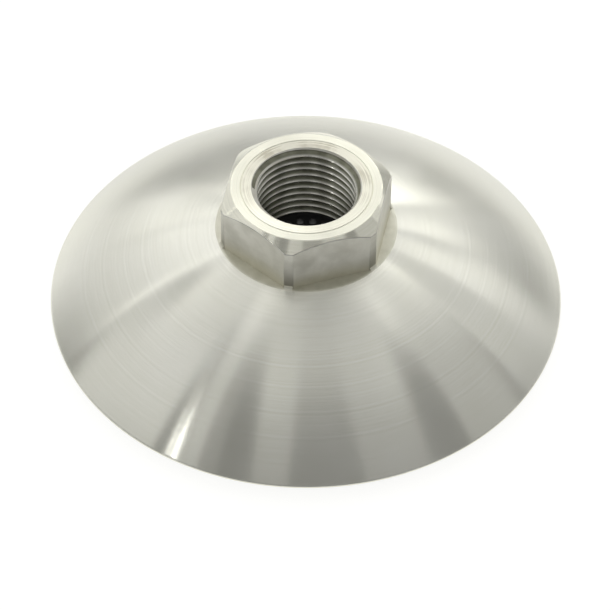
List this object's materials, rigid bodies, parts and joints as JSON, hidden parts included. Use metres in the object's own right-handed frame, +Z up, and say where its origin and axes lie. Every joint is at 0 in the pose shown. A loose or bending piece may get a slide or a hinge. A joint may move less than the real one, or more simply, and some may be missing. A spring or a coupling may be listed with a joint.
{
  "type": "vacuum suction cup",
  "caption": "Round suction cup: a shallow turned metal bell with a hexagonal threaded hub, and a clamped rubber lip under the rim.",
  "frame": {"origin": "centre of the sealing plane, under the relaxed lip", "axes": "+Z up along the bell's axis and out of the threaded port; the sealing face looks along -Z"},
  "size_m": [0.08, 0.08, 0.026],
  "materials": {
    "bell_metal": "fine-turned satin",
    "ring_steel": "turned satin",
    "screw_steel": "plain stainless",
    "spring_steel": "phosphated dark",
    "lip_rubber": "moulded matt",
    "pad_rubber": "moulded matt",
    "strainer_nylon": "moulded matt"
  },
  "bodies": {
    "cup": {"cup_body": "bell_metal", "clamp_ring": "ring_steel", "clamp_screws": "screw_steel", "friction_pad_1": "pad_rubber", "friction_pad_2": "pad_rubber", "friction_pad_3": "pad_rubber", "friction_pad_4": "pad_rubber", "friction_pad_5": "pad_rubber", "friction_pad_6": "pad_rubber", "strainer": "strainer_nylon", "strainer_ring": "spring_steel"},
    "lip": {"sealing_lip": "lip_rubber"}
  },
  "joints": [
    {"name": "lip_squeeze", "type": "slide", "parent": "cup", "child": "lip", "axis": [0, 0, 1], "range_m": [0, 0.002], "stiffness_N_per_m": 10000, "deforming": ["sealing_lip"]}
  ]
}
